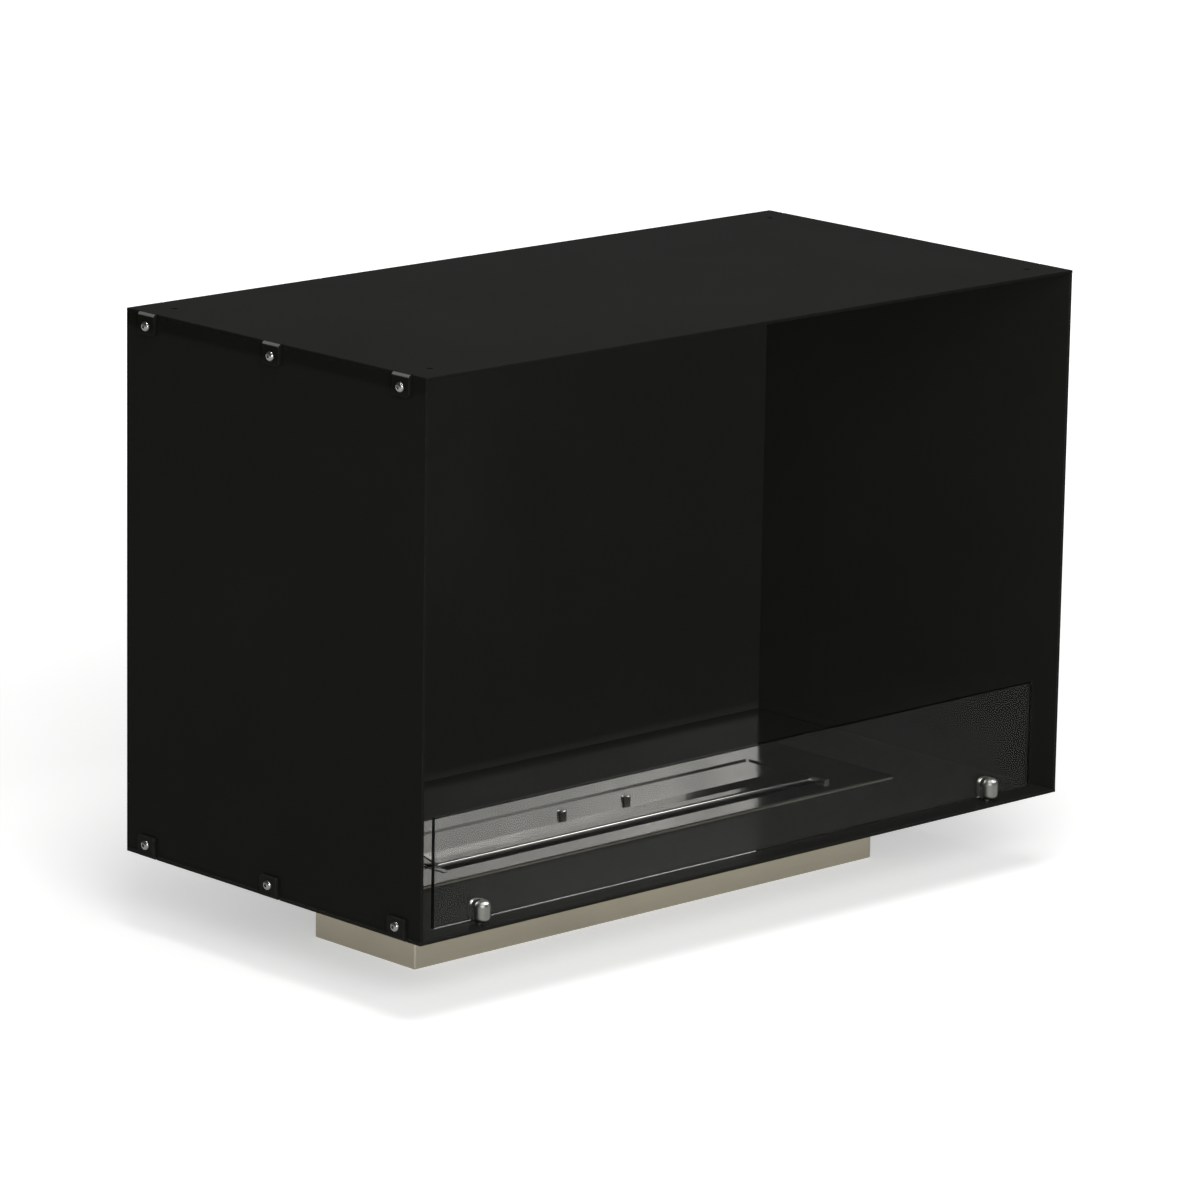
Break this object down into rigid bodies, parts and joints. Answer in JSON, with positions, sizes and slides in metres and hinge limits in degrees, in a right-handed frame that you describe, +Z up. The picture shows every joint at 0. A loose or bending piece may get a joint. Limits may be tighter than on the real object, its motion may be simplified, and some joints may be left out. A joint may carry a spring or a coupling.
{
  "type": "bioethanol fireplace",
  "caption": "Open-fronted black steel fireplace casing with a slotted bioethanol burner hung through its floor, a sliding slot shutter and a low glass screen held in two clamps.",
  "frame": {"origin": "middle of the whole part's footprint, on the underside of the burner tank", "axes": "+X to the right along the casing's long side, +Y from the open front to the back wall, +Z up"},
  "size_m": [0.812, 0.406, 0.573],
  "materials": {
    "powder_coat": "fine satin black powder coat",
    "screw_steel": "bright stainless",
    "screen_glass": "clear tempered, ground edges",
    "polished_steel": "polished",
    "liner_rubber": "matt black",
    "tank_steel": "satin taupe",
    "plate_steel": "finely brushed",
    "knob_steel": "turned and polished",
    "tray_steel": "mill",
    "white_wool": "fibrous ceramic wool",
    "board": "pressed mineral board"
  },
  "bodies": {
    "casing": {"top_panel": "powder_coat", "bottom_panel": "powder_coat", "left_side_panel": "powder_coat", "right_side_panel": "powder_coat", "back_panel": "powder_coat", "left_tab_screws": "screw_steel", "right_tab_screws": "screw_steel", "rear_tab_screws": "screw_steel", "clamp_screws": "screw_steel", "rail_screws": "screw_steel", "burner_studs": "screw_steel", "burner_nuts": "screw_steel", "left_glass_clamp": "polished_steel", "right_glass_clamp": "polished_steel", "left_clamp_liner": "liner_rubber", "right_clamp_liner": "liner_rubber", "burner_tank": "tank_steel", "burner_top_plate": "plate_steel", "left_shutter_rail": "plate_steel", "right_shutter_rail": "plate_steel", "fuel_tray": "tray_steel", "wool_grid": "tray_steel", "ceramic_wool": "white_wool", "tank_insulation_board": "board"},
    "shutter": {"slot_shutter": "plate_steel", "shutter_knobs": "knob_steel"},
    "screen": {"glass_screen": "screen_glass"}
  },
  "joints": [
    {"name": "shutter_slide", "type": "slide", "parent": "casing", "child": "shutter", "axis": [0, -1, 0], "range_m": [0, 0.014]},
    {"name": "screen_lift", "type": "slide", "parent": "casing", "child": "screen", "axis": [0, 0, 1], "range_m": [0, 0.016]}
  ]
}
